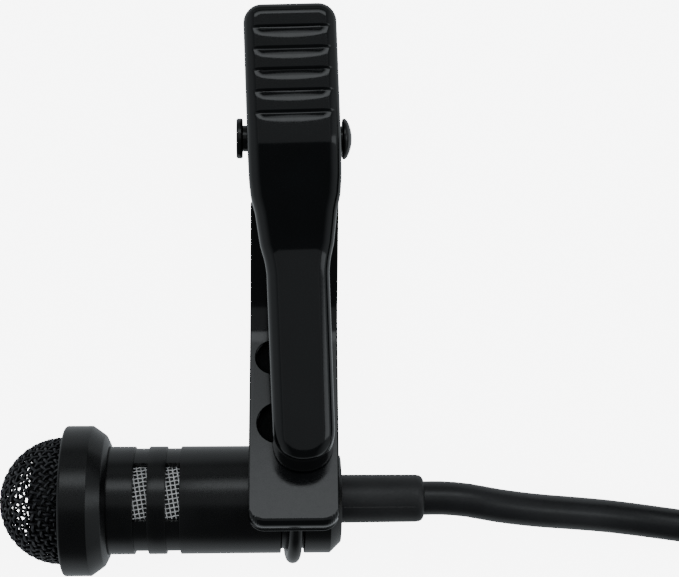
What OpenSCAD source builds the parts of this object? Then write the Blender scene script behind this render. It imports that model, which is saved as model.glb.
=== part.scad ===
// Lavalier microphone on a pressed-metal tie clip, with its lead wound up for storage.
// The microphone lies along X with its grille at -X and its cable at +X. The clip stands off
// towards +Y. The part rests on Z = 0 on its collar, its lead and the tail of the clip.

/* [Grille and collar] */
// Outside radius of the domed mesh grille
dome_r = 4.92; // [4.5:0.01:5.2]
// Thickness of the woven mesh of the grille
dome_t = 0.36; // [0.2:0.02:0.5]
// Outside radius of the collar
collar_r = 5.69; // [5.4:0.01:6]
// Length of the straight band of the collar
collar_band = 2.1; // [2:0.05:3]

/* [Barrel] */
// Outside radius of the barrel
barrel_r = 4.09; // [4:0.01:4.2]
// Bore radius around the capsule and the rear ports
barrel_bore_r = 3.5; // [3.4:0.05:3.6]
// Bore radius behind the rear ports
tail_bore_r = 3; // [2.9:0.05:3.1]
// Distance from the groove's middle to the rear end face
rear_end_x = 3.7; // [3.5:0.05:4]

/* [Rear ports] */
// Width of each port slot along the barrel
slot_w = 1.04; // [0.8:0.02:1.2]
// Depth of the groove turned around the barrel at each slot
slot_groove = 0.15; // [0.1:0.01:0.2]
// Angle that each port window spans around the barrel
port_angle = 68; // [50:1:80]
// Number of port windows in each slot
port_count = 3; // [2:1:3]

/* [Ring groove and wire ring] */
// Width of the groove that the clip's ring sits in
groove_w = 1.73; // [1.6:0.01:1.9]
// Floor radius of that groove
groove_r = 3.74; // [3.6:0.01:3.8]
// Radius of the ring's wire
ring_wire_r = 0.54; // [0.45:0.01:0.6]
// Radial clearance between the ring and the groove's floor
ring_play = 0.06; // [0.02:0.01:0.1]
// Lean of the ring in its groove
ring_lean = 3; // [0:0.5:3.5]

/* [Cable and strain relief] */
// Radius of the cable
cable_r = 1.3; // [1:0.05:1.5]
// Radius of the rubber strain relief
relief_r = 1.84; // [1.7:0.01:2]
// Length of the strain relief outside the barrel
relief_len = 6.4; // [5:0.1:8]

/* [Clip] */
// Thickness of the pressed sheet of both jaws
sheet = 0.5; // [0.4:0.05:0.6]
// Slope of the front of the lower jaw, which lies across the microphone
front_slope = 24.5; // [22:0.5:27]
// Half width of the lower jaw
jaw_half_w = 3.36; // [3.2:0.01:3.4]
// Half width of the lower jaw between the lever's sides
tail_half_w = 2.6; // [2.4:0.05:2.65]
// Half width of the lever at its thumb pad
lever_half_w = 3.41; // [3.3:0.01:3.5]
// Half width of the lever's beak
beak_half_w = 2.28; // [2.1:0.01:2.5]
// Sideways lean of the lever over the lower jaw
lever_lean = 1.9; // [0:0.1:2.5]
// Number of pressed ribs across the thumb pad
rib_count = 5; // [3:1:6]
// Distance from one rib to the next
rib_pitch = 1.55; // [1.4:0.05:1.7]

/* [Pivot and spring] */
// Radius of the pivot pin
pin_r = 0.96; // [0.9:0.01:1]
// Radius of the pin's heads
pin_head_r = 1.5; // [1.3:0.05:1.6]
// Radial running clearance of the lever on the pin
pin_play = 0.05; // [0.02:0.01:0.1]
// Radius of the spring's wire
spring_wire_r = 0.25; // [0.2:0.01:0.3]
// Number of turns of the spring
spring_turns = 4; // [3:1:5]

/* [Coil and plug] */
// Turns side by side in the wound lead
coil_columns = 6; // [5:1:7]
// Layers of turns in the wound lead
coil_layers = 2; // [2:1:2]
// Radius of the plug's moulded body
plug_r = 3.1; // [2.8:0.05:3.4]
// Radius of the plug's contacts
contact_r = 1.75; // [1.75:0.01:1.75]

/* [Hidden] */
$fn = 96;
eps = 0.01;

// Places along the microphone's axis, from the middle of the ring groove
dome_x = -17.4;
collar_front_x = -17.3;
collar_step_x = -15.5;
chamfer_x = collar_front_x + collar_band;
collar_back_x = -13.9;
bore_step_x = -7;
slot_x = [-11.4, -8.98];
rear_wall_x = rear_end_x - 1;
relief_end_x = rear_end_x + relief_len;

// Frame of the part: the middle of the rest area is the origin
tail_end_y = 37.3;
mid_x = (dome_x - dome_r + relief_end_x) / 2;
mid_y = (tail_end_y - collar_r) / 2;

// Clip, in the plane of Y and Z, measured from the microphone's axis
ring_mid_r = groove_r + ring_play + ring_wire_r;
plate_h = ring_mid_r + ring_wire_r - 0.04 + sheet;
slope_dir = [cos(front_slope), -sin(front_slope)];
slope_up = [sin(front_slope), cos(front_slope)];
tip_s = -3.4;
kink_s = 12.6;
lip_len = 0.65;
tip_pt = tip_s * slope_dir + plate_h * slope_up;
kink_pt = kink_s * slope_dir + plate_h * slope_up;
tail_bend_pt = [28, kink_pt[1] + (28 - kink_pt[0]) * tan(10)];
tail_end_pt = [tail_end_y - 0.35, -collar_r + sheet + 0.05];
pivot_pt = [27.26, 4.6];

// Lever, in the same plane: nose, beak, rise, crest and pad
nose_s = 0.05;
nose_h = 3.6;
nose_foot = nose_s * slope_dir + (plate_h + 0.12) * slope_up;
nose_top = nose_s * slope_dir + (plate_h + nose_h) * slope_up;
root_pt = [19, 6.15];
crest_pt = [26.75, 8.04];
pad_end_pt = [37.02, 7.13];
pad_lip_h = 1.7;

// ---- helpers ----------------------------------------------------------------------------

// Puts a shape drawn on the microphone's axis in its place over the table.
module on_mic() {
    translate([-mid_x, -mid_y, collar_r]) children();
}

// Turns a profile of [radius, x] points around the microphone's axis.
module turned(profile) {
    rotate([0, 90, 0]) rotate_extrude() polygon(profile);
}

// A ring or disc around the axis, from x0 to x1.
module band(outer, inner, x0, x1) {
    translate([x0, 0, 0]) rotate([0, 90, 0]) difference() {
        cylinder(r = outer, h = x1 - x0);
        if (inner > 0) translate([0, 0, -1]) cylinder(r = inner, h = x1 - x0 + 2);
    }
}

// Points of an arc that rounds the corner b of the path a, b, c.
function corner(a, b, c, r, n = 5) =
    let (u = (a - b) / norm(a - b), v = (c - b) / norm(c - b),
        half = acos(max(-1, min(1, u * v))) / 2,
        back = r / tan(half),
        mid = b + (u + v) / norm(u + v) * (r / sin(half)),
        p = b + u * back - mid, q = b + v * back - mid,
        turn = 180 - 2 * half)
    [for (i = [0:n]) mid + (sin(turn * (1 - i / n)) * p + sin(turn * i / n) * q) / sin(turn)];

// A path whose inner points are rounded by the given radii.
function rounded(points, radii) = concat([points[0]],
    [for (i = [1:len(points) - 2])
        each corner(points[i - 1], points[i], points[i + 1], radii[i - 1])],
    [points[len(points) - 1]]);

// The same path moved sideways by d, to the right of its direction.
function shifted(path, d) = [for (i = [0:len(path) - 1])
    let (a = path[max(0, i - 1)], b = path[min(len(path) - 1, i + 1)],
        t = (b - a) / norm(b - a))
    path[i] + d * [t[1], -t[0]]];

function reversed(list) = [for (i = [len(list) - 1:-1:0]) list[i]];

// A sheet of the thickness t whose upper side follows the path, in the plane of Y and Z.
module sheet_along(path, t, half_w) {
    rotate([90, 0, 90]) translate([0, 0, -half_w]) linear_extrude(2 * half_w)
        polygon(concat(path, reversed(shifted(path, t))));
}

// A closed solid from the path down to a flat floor, in the plane of Y and Z.
module block_under(outline, half_w) {
    rotate([90, 0, 90]) translate([0, 0, -half_w]) linear_extrude(2 * half_w)
        polygon(outline);
}

// A tube swept along a route of points, as one polyhedron. The route never runs along the
// direction reference.
function tangent(route, i) =
    let (d = route[min(len(route) - 1, i + 1)] - route[max(0, i - 1)]) d / norm(d);
module tube(route, r, sides, reference) {
    rings = [for (i = [0:len(route) - 1])
        let (t = tangent(route, i), s = cross(t, reference), side = s / norm(s),
            up = cross(side, t))
        [for (k = [0:sides - 1])
            route[i] + r * (cos(360 * k / sides) * side + sin(360 * k / sides) * up)]];
    last = (len(route) - 1) * sides;
    polyhedron(points = [for (ring = rings) each ring], faces = concat(
        [[for (k = [0:sides - 1]) k]],
        [for (i = [0:len(route) - 2], k = [0:sides - 1])
            let (m = (k + 1) % sides)
            [i * sides + k, i * sides + sides + k, i * sides + sides + m, i * sides + m]],
        [[for (k = [sides - 1:-1:0]) last + k]]), convexity = 10);
}

// ---- microphone -------------------------------------------------------------------------

module grille_dome() {
    color("dimgray") on_mic() rotate([0, 90, 0]) rotate_extrude() difference() {
        union() {
            translate([0, dome_x]) circle(dome_r);
            translate([0, dome_x]) square([dome_r, collar_step_x - dome_x]);
        }
        translate([0, dome_x]) circle(dome_r - dome_t);
        translate([-eps, dome_x]) square([dome_r - dome_t + eps, 9]);
        translate([-9, dome_x - 9]) square([9, 18]);
    }
}

module grille_felt() {
    color("black") on_mic() band(3.85, 0, -19.5, -19.15);
}

module collar() {
    color([0.1, 0.1, 0.1]) on_mic() turned([
        [dome_r, collar_front_x], [collar_r - 0.12, collar_front_x],
        [collar_r, collar_front_x + 0.12], [collar_r, chamfer_x],
        [4.99, -14.22], [4.72, -13.98], [4.4, collar_back_x],
        [barrel_r, collar_back_x], [barrel_r, collar_step_x], [dome_r, collar_step_x]]);
}

module capsule_boot() {
    color([0.15, 0.15, 0.15]) on_mic() difference() {
        union() {
            band(3.9, 0, -19.15, collar_step_x);
            band(barrel_bore_r - 0.02, 0, collar_step_x, -14);
        }
        band(3, 0, -18.95, -13.9);
        band(2.5, 0, -19.2, -18.9);
    }
}

module capsule_can() {
    color("silver") on_mic() difference() {
        band(3, 0, -18.95, -14.4);
        band(2.75, 0, -18.7, -14.65);
        band(2.3, 0, -14.7, -14.3);
        band(1, 0, -19, -18.6);
    }
}

module diaphragm_ring() {
    color("goldenrod") on_mic() band(2.74, 2.25, -18.7, -18.4);
}

module diaphragm() {
    color("gold") on_mic() band(2.74, 0, -18.4, -18.35);
}

module diaphragm_spacer() {
    color("ivory") on_mic() band(2.74, 2.3, -18.35, -18.2);
}

module backplate_cup() {
    color("white") on_mic() band(2.74, 2.3, -18.2, -15.15);
}

module backplate() {
    color("silver") on_mic() difference() {
        band(2.29, 0, -18.2, -17.7);
        for (a = [0:60:300])
            rotate([a, 0, 0]) translate([0, 1.3, 0]) band(0.3, 0, -19, -17);
    }
}

module gate_contact() {
    color("gold") on_mic() band(2.29, 2.05, -17.7, -15.15);
}

module fet() {
    color([0.1, 0.1, 0.1]) on_mic() translate([-15.95, -0.8, -0.65]) cube([0.8, 1.6, 1.3]);
}

module circuit_board() {
    color("darkgreen") on_mic() difference() {
        band(2.74, 0, -15.15, -14.65);
        for (a = [45:90:315])
            rotate([a, 0, 0]) translate([0, 1.8, 0]) band(0.3, 0, -16, -14);
    }
}

module lead_wires() {
    color([0.1, 0.1, 0.1]) on_mic() for (z = [-0.6, 0.6])
        translate([0, 0, z]) band(0.35, 0, -14.65, -1.5);
}

module barrel() {
    color([0.1, 0.1, 0.1]) on_mic() difference() {
        turned([
            [barrel_bore_r, collar_step_x], [barrel_r, collar_step_x],
            [barrel_r, -groove_w / 2 - 0.12], [barrel_r - 0.1, -groove_w / 2],
            [groove_r, -groove_w / 2], [groove_r, groove_w / 2],
            [barrel_r - 0.1, groove_w / 2], [barrel_r, groove_w / 2 + 0.12],
            [barrel_r, rear_end_x - 0.9], [barrel_r - 0.78, rear_end_x],
            [relief_r, rear_end_x], [relief_r, rear_wall_x],
            [tail_bore_r, rear_wall_x], [tail_bore_r, bore_step_x],
            [barrel_bore_r, bore_step_x]]);
        for (x = slot_x) {
            band(barrel_r + 1, barrel_r - slot_groove, x - slot_w / 2, x + slot_w / 2);
            for (i = [0:port_count - 1]) port_window(x, i);
        }
    }
}

// One window through the barrel's wall, turned to its place around the axis.
module port_window(x, i) {
    start = 90 - 52 + i * 360 / port_count;
    translate([x - slot_w / 2, 0, 0]) rotate([start, 0, 0]) rotate([90, 0, 90])
        rotate_extrude(angle = port_angle) translate([barrel_bore_r - 0.3, 0])
            square([1.2, slot_w]);
}

module port_screen() {
    color("silver") on_mic() band(barrel_bore_r, barrel_bore_r - 0.14, -12.5, -7.9);
}

module crimp_ferrule() {
    color("goldenrod") on_mic() band(1.75, cable_r, 0, 1.7);
}

module cable_end() {
    color([0.08, 0.08, 0.08]) on_mic() band(cable_r, 0, -1.5, relief_end_x);
}

module strain_relief() {
    color([0.12, 0.12, 0.12]) on_mic() difference() {
        union() {
            band(tail_bore_r - 0.1, 0, 1.7, rear_wall_x);
            turned([[0, rear_wall_x], [relief_r, rear_wall_x],
                [relief_r - 0.04, relief_end_x - 0.4], [relief_r - 0.14, relief_end_x - 0.12],
                [relief_r - 0.36, relief_end_x], [0, relief_end_x]]);
        }
        band(cable_r, 0, 1, relief_end_x + 1);
    }
}

// ---- lead -------------------------------------------------------------------------------

// The lead's route from the strain relief to the coil, measured from the microphone's axis.
// The table is at z = -5.69.
cable_route = [
    [10.1, 0, 0], [11.6, 0, 0], [13.6, -0.2, -0.12], [16, -0.7, -0.6], [19, -1.2, -1.5],
    [22, -1.6, -2.6], [25, -2, -3.6], [28, -2.45, -4.2], [31, -2.9, -4.38],
    [36, -3.6, -4.38], [41, -4.05, -4.38], [46, -4.2, -4.38], [52, -4.2, -4.38]];

coil_inner_r = 9.1;
coil_outer_r = coil_inner_r + 2 * cable_r * (coil_columns - 1);
coil_mid = [57, -4.2 + coil_outer_r];
coil_h = 5.3;

// The last stretch, from the top of the coil to the plug that lies across it.
tail_route = [
    [77.9, 10.4, -1.7], [79.1, 14.4, -0.95], [79.4, 18.4, 0], [78.2, 22.8, 0.6],
    [75.4, 27.4, 0.95], [71.4, 31, 1], [66.6, 33, 1], [61.8, 33, 1.3],
    [58.2, 31.3, 1.9], [56, 28.8, 2.5], [55.4, 26.4, 2.78], [55.4, 24.8, 2.8]];
plug_at = [55.4, 24.8, 2.8];

module cable() {
    color([0.08, 0.08, 0.08]) on_mic() tube(cable_route, cable_r, 8, [0, 0, 1]);
}

module cable_coil() {
    color([0.08, 0.08, 0.08]) on_mic() translate([coil_mid[0], coil_mid[1], -collar_r])
        rotate_extrude() translate([coil_inner_r - cable_r, 0])
            square([coil_outer_r - coil_inner_r + 2 * cable_r, coil_h]);
}

module cable_tail() {
    color([0.08, 0.08, 0.08]) on_mic() tube(tail_route, cable_r, 8, [0, 0, 1]);
}

// A hook-and-loop strap around the bundle of turns.
module coil_tie() {
    tie_w = 6;
    in_x = coil_inner_r - cable_r;
    out_x = coil_outer_r + cable_r;
    color([0.2, 0.2, 0.2]) on_mic() translate([coil_mid[0], coil_mid[1], -collar_r])
        rotate([0, 0, 200]) difference() {
            translate([in_x - 0.8, -tie_w / 2, 0]) cube([out_x - in_x + 1.6, tie_w, coil_h + 0.8]);
            translate([in_x, -tie_w, 0.5]) cube([out_x - in_x, 2 * tie_w, coil_h - 0.4]);
        }
}

// Turns a profile of [radius, length] points around the plug's axis, which points to -Y.
module on_plug() {
    on_mic() translate(plug_at) rotate([90, 0, 0]) children();
}

module plug_relief() {
    color([0.1, 0.1, 0.1]) on_plug() rotate_extrude() polygon([
        [0, 0], [1.65, 0], [1.75, 0.3], [2.3, 8.5], [2.3, 9], [0, 9]]);
}

module plug_body() {
    color([0.1, 0.1, 0.1]) on_plug() rotate_extrude() polygon([
        [0, 9], [2.5, 9], [plug_r, 9.8], [plug_r, 23], [2.7, 24], [0, 24]]);
}

module plug_sleeve_contact() {
    color("gold") on_plug() rotate_extrude() polygon([
        [0, 24], [2.5, 24], [2.5, 24.6], [contact_r, 24.6], [contact_r, 31], [0, 31]]);
}

module plug_ring_contact() {
    color("gold") on_plug() translate([0, 0, 31.6]) cylinder(r = contact_r, h = 2.2);
}

module plug_tip_contact() {
    color("gold") on_plug() rotate_extrude() polygon([
        [0, 34.4], [contact_r, 34.4], [contact_r, 35.3], [1.25, 36.2], [1.7, 37], [1.5, 37.6],
        [0.5, 38.5], [0, 38.6]]);
}

module plug_insulators() {
    color("black") on_plug() for (z = [31, 33.8])
        translate([0, 0, z]) cylinder(r = contact_r, h = 0.6);
}

// ---- clip -------------------------------------------------------------------------------

// The wire ring, split at the top where it is welded under the lower jaw.
module mic_ring() {
    color([0.12, 0.12, 0.12]) on_mic() rotate([0, ring_lean, 0])
        rotate([90 - front_slope + 3, 0, 0]) rotate([90, 0, 90])
            rotate_extrude(angle = 354) translate([ring_mid_r, 0]) circle(ring_wire_r, $fn = 48);
}

jaw_path = rounded(
    [tip_pt - (lip_len + 0.6) * slope_up, tip_pt, kink_pt, tail_bend_pt, tail_end_pt,
        tail_end_pt + [0.35, -0.02]],
    [0.67, 5, 1.5, 0.2]);

module lower_jaw() {
    color([0.1, 0.1, 0.1]) on_mic() difference() {
        union() {
            intersection() {
                sheet_along(jaw_path, sheet, jaw_half_w);
                translate([0, 0, -30]) linear_extrude(60) polygon(jaw_outline);
            }
            for (side = [-1, 1]) pivot_ear(side);
            for (p = pockets) obround(p[0], p[1] + 0.25, p[2] + 0.25, plate_h - 1.15, plate_h - 0.3);
        }
        for (side = [-1, 1])
            translate([side * tail_half_w - side * 0.25, 0, 0]) pin_hole(pin_r);
        for (p = pockets) obround(p[0], p[1], p[2], plate_h - 0.8, plate_h + 2);
    }
}

// The lower jaw seen from above: full width in front, narrow between the lever's sides.
jaw_outline = concat(
    corner([0, -3], [jaw_half_w, -3], [jaw_half_w, 9], 1),
    [[jaw_half_w, 22.9], [tail_half_w, 23.9]],
    corner([tail_half_w, 24], [tail_half_w, tail_end_y], [0, tail_end_y], 1),
    corner([0, tail_end_y], [-tail_half_w, tail_end_y], [-tail_half_w, 24], 1),
    [[-tail_half_w, 23.9], [-jaw_half_w, 22.9]],
    corner([-jaw_half_w, 9], [-jaw_half_w, -3], [0, -3], 1));

// An ear turned up from the edge of the lower jaw to hold the pivot pin.
module pivot_ear(side) {
    translate([side > 0 ? tail_half_w - sheet : -tail_half_w, 0, 0]) rotate([90, 0, 90])
        linear_extrude(sheet) {
            translate(pivot_pt) circle(1.75);
            polygon([[24.2, 1.3], [27.9, 1.9], [30.2, 0.2], pivot_pt + [1.75, 0],
                pivot_pt - [1.75, 0]]);
        }
}

module pin_hole(r) {
    translate([-2, pivot_pt[0], pivot_pt[1]]) rotate([0, 90, 0]) cylinder(r = r, h = 4);
}

// Pressed pockets that grip the cloth: distance along the slope, end radius and half length.
pockets = [[9.61, 1.29, 2.85], [4.31, 1.51, 2.7]];

// A round-ended block across the lower jaw, square to its slope, between the heights z0 and z1.
module obround(s, r, reach, z0, z1) {
    at = s * slope_dir;
    translate([0, at[0], at[1]]) rotate([-front_slope, 0, 0]) {
        for (x = [-1, 1]) translate([x * (reach - r), 0, z0]) cylinder(r = r, h = z1 - z0);
        translate([-reach + r, -r, z0]) cube([2 * (reach - r), 2 * r, z1 - z0]);
    }
}

module pivot_pin() {
    color([0.12, 0.12, 0.12]) on_mic() translate([0, pivot_pt[0], pivot_pt[1]])
        rotate([0, 90, 0]) {
            translate([0, 0, -4.2]) cylinder(r = pin_head_r - 0.02, h = 0.48);
            translate([0, 0, -4]) cylinder(r = pin_r, h = 7.6);
        }
}

// The pin's domed head, riveted over its other end.
module pin_head() {
    color([0.12, 0.12, 0.12]) on_mic() translate([3.6, pivot_pt[0], pivot_pt[1]])
        rotate([0, 90, 0]) rotate_extrude() polygon([
            [0, 0], [pin_head_r, 0], [pin_head_r, 0.28], [1.3, 0.5], [0.9, 0.66], [0.45, 0.74],
            [0, 0.76]]);
}

lever_top = rounded([nose_top, root_pt, crest_pt, pad_end_pt], [2, 2.5]);
lever_sides = [
    pad_end_pt - [0, pad_lip_h], [32, pad_end_pt[1] - 2.6], [29.6, 3], [28.2, 2.75],
    [24.6, 2.9], [21.5, 2.6], [18, 2.3], [13, 3], nose_foot + 1.4 * slope_dir];

module upper_jaw() {
    color([0.1, 0.1, 0.1]) on_mic() difference() {
        translate([0, pivot_pt[0], 0]) rotate([0, 0, lever_lean]) translate([0, -pivot_pt[0], 0])
            lever_shell();
        translate([-4, 0, 0]) pin_hole(pin_r + pin_play);
        translate([4, 0, 0]) pin_hole(pin_r + pin_play);
    }
}

// The lever as a folded sheet: its outside less its inside, less the steps between the ribs.
module lever_shell() {
    difference() {
        intersection() {
            block_under(concat([nose_foot], lever_top, lever_sides), lever_half_w);
            translate([0, 0, -5]) linear_extrude(30) polygon(lever_outline(0));
            nose_prism(0);
        }
        intersection() {
            block_under(lever_inside, lever_half_w);
            translate([0, 0, -9]) linear_extrude(40) polygon(lever_outline(sheet));
            nose_prism(sheet);
        }
        for (i = [0:rib_count - 1]) rib_groove(crest_pt[0] + 2.2 + i * rib_pitch);
    }
}

lever_under = shifted(lever_top, sheet);
lever_inside = concat([nose_foot - 3 * slope_up], [nose_top - 0.3 * slope_up],
    [for (i = [1:len(lever_under) - 2]) lever_under[i]],
    [pad_end_pt - [-1, sheet + 0.08]], [pad_end_pt - [-1, 12]]);

// The nose's rounded front, square to the lower jaw's slope, drawn in by the distance d.
module nose_prism(d) {
    front = nose_s + d;
    edge = beak_half_w - d;
    right = concat(corner([0, front], [edge, front], [edge, 6], 1.75 - d / 2),
        [[edge + 0.1, 9], [9, 12], [9, 60]]);
    rotate([-front_slope, 0, 0]) translate([0, 0, -40]) linear_extrude(80)
        polygon(concat(right, reversed([for (p = right) [-p[0], p[1]]])));
}

// The lever seen from above, drawn in from its edge by the distance d.
function lever_outline(d) = let (edge = concat(
    [[beak_half_w - d - 0.05, 0], [beak_half_w - d, 17.2], [beak_half_w - d + 0.12, 18.2],
        [beak_half_w - d + 0.42, 19.5], [lever_half_w - d - 0.42, 21.7],
        [lever_half_w - d - 0.12, 23], [lever_half_w - d, 24.2]],
    corner([lever_half_w - d, 25], [lever_half_w - d, pad_end_pt[0] - d],
        [0, pad_end_pt[0] - d], 1.35 - d / 2)))
    concat(edge, reversed([for (p = edge) [-p[0], p[1]]]));

// The step between two pressed ribs of the thumb pad.
module rib_groove(y) {
    z = crest_pt[1] - (y - crest_pt[0]) * 0.085;
    block_under([[y - 0.15, z + 0.3], [y, z - 0.18], [y + 0.5, z + 0.3]], 2.6);
}

// The torsion spring: two legs that push the tails apart, and a close coil around the pin.
spring_r = pin_r + 0.2 + spring_wire_r;
spring_pitch = 2 * spring_wire_r + 0.06;
spring_x = -1.3;
spring_end_x = spring_x + (spring_turns + 0.5) * spring_pitch;
spring_route = concat(
    [[spring_x, 32.4, 6.6], [spring_x, 29.6, 6.3]],
    [for (a = [90:22.5:90 + 360 * spring_turns + 180])
        [spring_x + (a - 90) / 360 * spring_pitch, pivot_pt[0] + spring_r * cos(a),
            pivot_pt[1] + spring_r * sin(a)]],
    [[spring_end_x, 28.3, 2.95], [spring_end_x, 29.4, 1.75], [spring_end_x, 31, 0.09]]);

module torsion_spring() {
    color("silver") on_mic() tube(spring_route, spring_wire_r, 8, [1, 0, 0]);
}

grille_dome();
grille_felt();
collar();
capsule_boot();
capsule_can();
diaphragm_ring();
diaphragm();
diaphragm_spacer();
backplate();
backplate_cup();
gate_contact();
fet();
circuit_board();
lead_wires();
barrel();
port_screen();
crimp_ferrule();
cable_end();
strain_relief();
cable();
cable_coil();
coil_tie();
cable_tail();
plug_relief();
plug_body();
plug_sleeve_contact();
plug_ring_contact();
plug_tip_contact();
plug_insulators();
mic_ring();
lower_jaw();
pivot_pin();
pin_head();
upper_jaw();
torsion_spring();
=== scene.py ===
# %% [markdown]
# # A lavalier microphone in Blender
# The microphone is a turned metal barrel with a woven grille, held in the wire ring of a tie clip.
# Its engineering model is loaded first. It gives every piece's place and size, so this lesson
# only adds the finer shapes, the finishes, the light and the camera.

# %% Load the frame
import math

import bmesh
import bpy
from mathutils import Matrix, Vector


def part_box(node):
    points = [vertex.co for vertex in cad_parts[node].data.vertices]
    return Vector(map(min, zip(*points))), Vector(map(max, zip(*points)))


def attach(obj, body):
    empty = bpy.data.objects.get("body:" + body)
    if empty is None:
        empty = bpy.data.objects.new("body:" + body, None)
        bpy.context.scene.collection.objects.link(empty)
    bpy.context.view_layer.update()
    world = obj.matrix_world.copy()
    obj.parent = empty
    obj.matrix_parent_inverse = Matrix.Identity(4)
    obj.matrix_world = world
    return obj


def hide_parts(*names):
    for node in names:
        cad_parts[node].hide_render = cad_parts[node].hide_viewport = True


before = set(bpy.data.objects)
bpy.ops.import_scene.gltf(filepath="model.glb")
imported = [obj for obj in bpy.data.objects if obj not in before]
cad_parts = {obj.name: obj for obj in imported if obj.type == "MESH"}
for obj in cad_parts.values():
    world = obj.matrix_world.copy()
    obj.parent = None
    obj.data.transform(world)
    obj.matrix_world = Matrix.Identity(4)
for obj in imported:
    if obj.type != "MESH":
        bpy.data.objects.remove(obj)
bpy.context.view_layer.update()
MM = 0.001

# %% [markdown]
# Everything on the microphone is turned round one axis, so the lesson measures from there and not
# from the part's own corner. The middle of the groove that holds the clip's ring is a handy zero.
# The barrel's own box gives the axis, and the groove lies a known way in front of its rear end.
# The helper at() turns millimetres from that zero into a point of the frame.

# %% The microphone's axis
barrel_end = 3.7
barrel_low, barrel_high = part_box("barrel")
AXIS = Vector((barrel_high[0] - barrel_end * MM, (barrel_low[1] + barrel_high[1]) / 2,
               (barrel_low[2] + barrel_high[2]) / 2))
TABLE = -AXIS.z / MM


def at(x, y, z):
    """A point given in millimetres from the groove's middle."""
    return AXIS + Vector((x, y, z)) * MM


print("groove middle:", tuple(round(v * 1000, 2) for v in AXIS), "mm")

# %% [markdown]
# The camera looks straight down on the table with a long lens, which keeps parallel edges nearly
# parallel. It is tilted by three degrees, so that it sees a little of the grille's front. A tilt
# could be typed in as Euler angles. Here the three axes of the camera are worked out from the
# direction of view, because that also keeps the barrel level in the frame.

# %% Camera
camera_place = at(-2.57, 16.19, 118.83)
lean = math.radians(3.0)
view = Vector((math.sin(lean), 0, -math.cos(lean)))
rightwards = view.cross(Vector((0, 1, 0))).normalized()
upwards = rightwards.cross(view)
cam_data = bpy.data.cameras.new("camera")
cam_data.sensor_width = 36
cam_data.lens = 81.9
cam_data.clip_start = 0.01
camera = bpy.data.objects.new("camera", cam_data)
bpy.context.collection.objects.link(camera)
camera_turn = Matrix((rightwards, upwards, -view)).transposed().to_4x4()
camera.matrix_world = Matrix.Translation(camera_place) @ camera_turn
bpy.context.scene.camera = camera
print("camera:", round(camera_place.z * 1000), "mm above the table")

# %% [markdown]
# Every piece ends the same way. Its doubled points are merged, its faces are turned outwards, it
# gets its finish, and its sharp edges are marked by their angle, so that the rest shades smoothly.
# Then it is hung on the body it rides on, and the engineering nodes that it stands for are hidden. Doing
# this in one place means that no piece can miss a step.

# %% Finished pieces
def piece(name, verts, faces, material, body, stands_for=(), angle=40):
    """A finished mesh piece that rides on a body and stands for some engineering nodes."""
    mesh = bpy.data.meshes.new(name)
    mesh.from_pydata([tuple(v) for v in verts], [], faces)
    return finished(name, mesh, material, body, stands_for, angle)


def finished(name, mesh, material, body, stands_for=(), angle=40):
    """Merges, turns outwards, paints and smooths a mesh, and hangs it on its body."""
    bm = bmesh.new()
    bm.from_mesh(mesh)
    bmesh.ops.remove_doubles(bm, verts=bm.verts, dist=1e-7)
    bmesh.ops.recalc_face_normals(bm, faces=bm.faces)
    bm.to_mesh(mesh)
    bm.free()
    obj = bpy.data.objects.new(name, mesh)
    bpy.context.collection.objects.link(obj)
    mesh.materials.clear()
    mesh.materials.append(material)
    mesh.shade_smooth()
    mesh.set_sharp_from_angle(angle=math.radians(angle))
    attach(obj, body)
    if stands_for:
        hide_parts(*stands_for)
    print("made", name, "on", body, "with", len(mesh.polygons), "faces")
    return obj


# %% [markdown]
# Pressed and turned metal has small radii at its bends, and they catch the light. They could come
# from a Bevel modifier, but then every bend of a piece gets the same radius. The helper rounded()
# works on the drawn line instead, where each corner has a radius of its own.

# %% Rounded corners
def rounded(points, radii, steps=6):
    """Points of a line whose inner corners are rounded by the given radii."""
    points = [Vector(p) for p in points]
    line = [points[0]]
    for i in range(1, len(points) - 1):
        a, b, c = points[i - 1], points[i], points[i + 1]
        r = radii[i - 1]
        u, v = (a - b).normalized(), (c - b).normalized()
        half = u.angle(v) / 2
        if r <= 0 or half > math.radians(89.5):
            line.append(b)
            continue
        back = min(r / math.tan(half), 0.49 * (a - b).length, 0.49 * (c - b).length)
        r = back * math.tan(half)
        mid = b + (u + v).normalized() * (r / math.sin(half))
        p, q = b + u * back - mid, b + v * back - mid
        sweep = p.angle(q)
        for k in range(steps + 1):
            t = k / steps
            line.append(mid + (p * math.sin(sweep * (1 - t)) + q * math.sin(sweep * t))
                        / math.sin(sweep))
    line.append(points[-1])
    return line


# %% [markdown]
# Most of the microphone is lathe work. A Screw modifier could turn a profile too. Turning the
# profile in code closes the poles with triangles and leaves no doubled points on the axis.

# %% Turned pieces
def turned(name, profile, material, body, stands_for=(), steps=128, origin=None,
           along=Vector((1, 0, 0)), angle=40):
    """A profile of (place along the axis, radius) in millimetres, turned into a closed piece."""
    origin = at(0, 0, 0) if origin is None else origin
    first = along.orthogonal().normalized()
    second = along.cross(first)
    verts, faces, rings = [], [], []
    for x, r in profile:
        if r < 1e-4:
            rings.append([len(verts)] * steps)
            verts.append(origin + along * x * MM)
            continue
        rings.append(list(range(len(verts), len(verts) + steps)))
        for k in range(steps):
            a = 2 * math.pi * k / steps
            verts.append(origin + along * x * MM
                         + (first * math.cos(a) + second * math.sin(a)) * r * MM)
    closed = profile[0][1] > 1e-4 and profile[-1][1] > 1e-4
    pairs = list(zip(rings, rings[1:])) + ([(rings[-1], rings[0])] if closed else [])
    for low, high in pairs:
        for k in range(steps):
            m = (k + 1) % steps
            corners = [low[k], low[m], high[m], high[k]]
            face = [c for n, c in enumerate(corners) if c not in corners[:n]]
            if len(face) > 2:
                faces.append(face)
    return piece(name, verts, faces, material, body, stands_for, angle=angle)


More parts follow.
